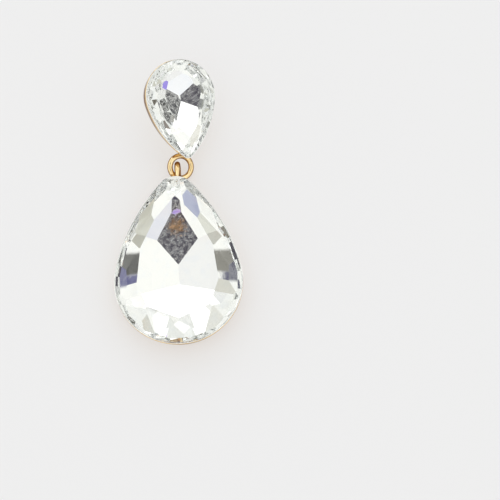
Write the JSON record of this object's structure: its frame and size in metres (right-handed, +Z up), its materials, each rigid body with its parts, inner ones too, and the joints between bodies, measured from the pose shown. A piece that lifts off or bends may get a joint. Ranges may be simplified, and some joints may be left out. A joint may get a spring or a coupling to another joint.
{
  "type": "teardrop earring",
  "caption": "Drop earring with clear pear-cut stones in closed gold-tone cups, the drop linked by an eyelet to a ring behind the ear stud.",
  "frame": {"origin": "on the surface it lies on, under the middle of the whole earring", "axes": "+Y along the earring from the drop towards the stud, +Z up from the surface out of the drop's table, +X to the right seen from above"},
  "size_m": [0.0252, 0.0566, 0.015],
  "materials": {
    "crystal": "cut and polished, foiled behind",
    "gold_plate": "polished warm gold plate on brass"
  },
  "bodies": {
    "root": {"drop_stone": "crystal", "drop_cup": "gold_plate", "stud_stone": "crystal", "stud_cup": "gold_plate", "ear_post": "gold_plate"}
  },
  "joints": []
}
